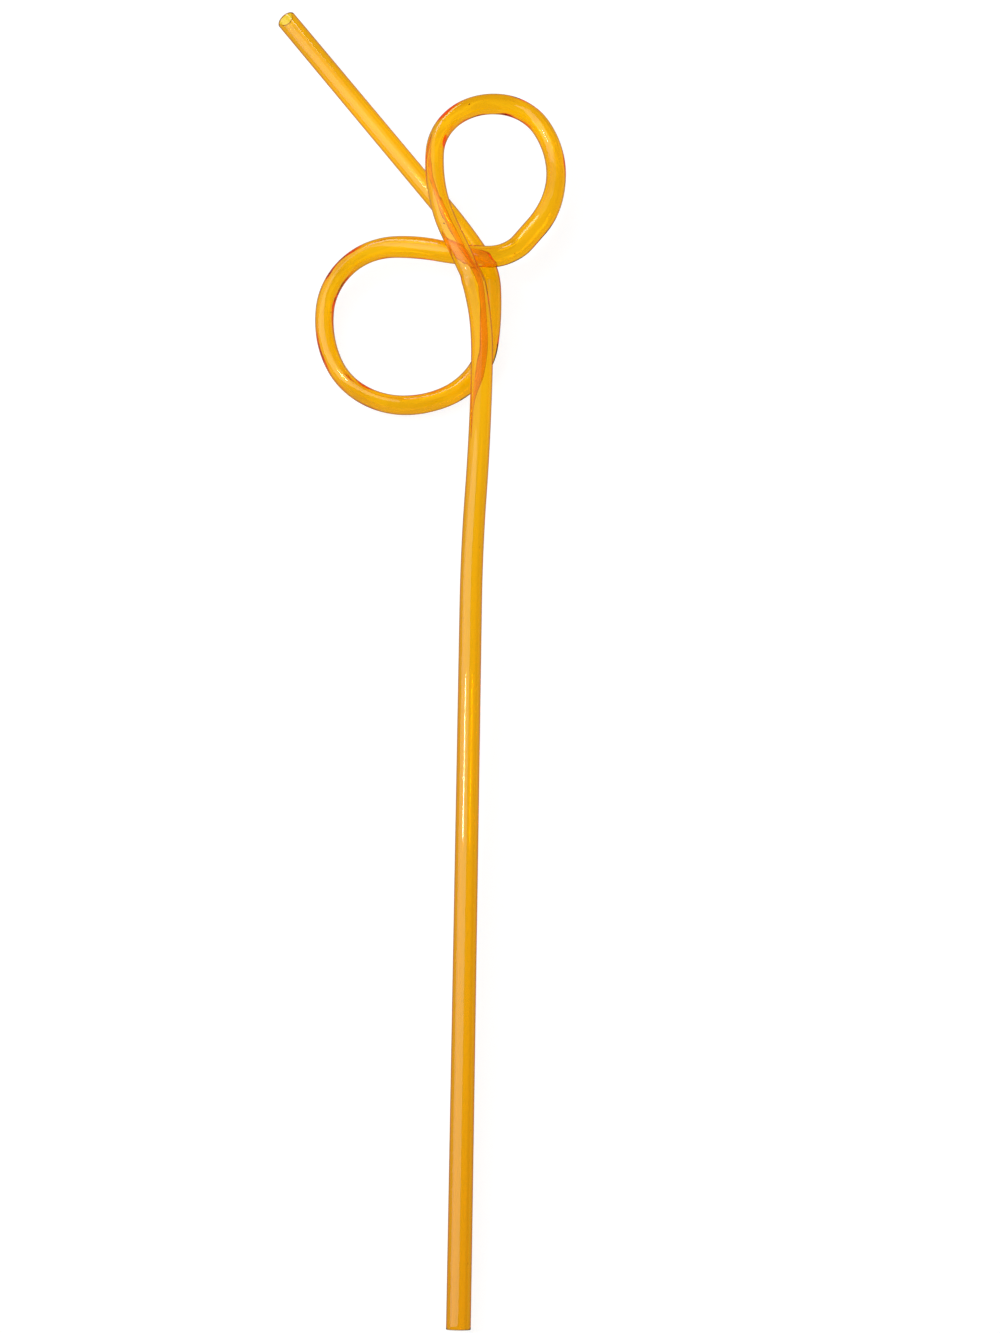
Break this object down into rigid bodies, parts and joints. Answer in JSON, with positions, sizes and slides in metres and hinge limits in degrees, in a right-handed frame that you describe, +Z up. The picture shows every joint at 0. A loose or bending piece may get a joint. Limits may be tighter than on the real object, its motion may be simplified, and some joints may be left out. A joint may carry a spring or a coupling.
{
  "type": "drinking straw",
  "caption": "Loopy drinking straw: one thin clear plastic tube with a long straight stem, loops in the middle and a slanted straight mouthpiece, lying flat.",
  "frame": {"origin": "centre of the bounding box's footprint, at the level of the surface that the straw lies on", "axes": "+Z up from that surface, +Y along the straw from the stem's foot towards the mouthpiece, +X to the right with the straw seen from above and its mouthpiece at the top"},
  "size_m": [0.065, 0.2852, 0.0144],
  "materials": {
    "clear_orange_plastic": "smooth, glossy, transparent yellow-orange"
  },
  "bodies": {
    "root": {"straw": "clear_orange_plastic"}
  },
  "joints": []
}
